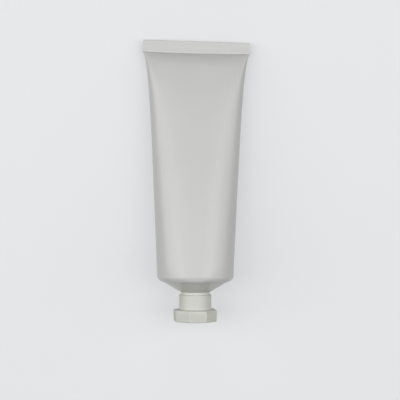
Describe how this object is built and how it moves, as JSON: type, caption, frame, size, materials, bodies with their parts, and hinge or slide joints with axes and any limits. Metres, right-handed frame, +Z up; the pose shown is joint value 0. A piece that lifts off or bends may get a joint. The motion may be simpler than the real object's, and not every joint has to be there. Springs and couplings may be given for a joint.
{
  "type": "squeeze tube",
  "caption": "Filled squeeze tube with a flat welded end, a sloping shoulder with a nozzle neck, and a screw cap with an eight-sided foot. It lies on its back.",
  "frame": {"origin": "middle of the footprint of the whole tube, on the surface it lies on", "axes": "+Y from the cap to the welded end, +X to the right when seen from above with the welded end at the top, +Z up, out of the tube's front"},
  "size_m": [0.0496, 0.1294, 0.0347],
  "materials": {
    "sleeve_plastic": "soft white plastic sleeve with a smooth half-gloss skin",
    "head_plastic": "moulded white plastic, half gloss",
    "cream": "smooth off-white cream",
    "cap_plastic": "moulded white plastic, half gloss",
    "liner_foam": "white foamed plastic disc"
  },
  "bodies": {
    "tube": {"tube_sleeve": "sleeve_plastic", "tube_head": "head_plastic", "cream_fill": "cream"},
    "liner": {"cap_liner": "liner_foam"},
    "cap": {"screw_cap": "cap_plastic"}
  },
  "joints": [
    {"name": "cap_travel", "type": "slide", "parent": "tube", "child": "liner", "axis": [0, -0.9921, 0.1258], "range_m": [0, 0.00751]},
    {"name": "cap_turn", "type": "hinge", "parent": "liner", "child": "cap", "pos_m": [0, -0.0611, 0.0197], "axis": [0, -0.9921, 0.1258], "range_deg": [0, 1080]}
  ],
  "couplings": [
    {"joint": "cap_travel", "follows": "cap_turn", "m_per_rad": 0.00039789}
  ]
}
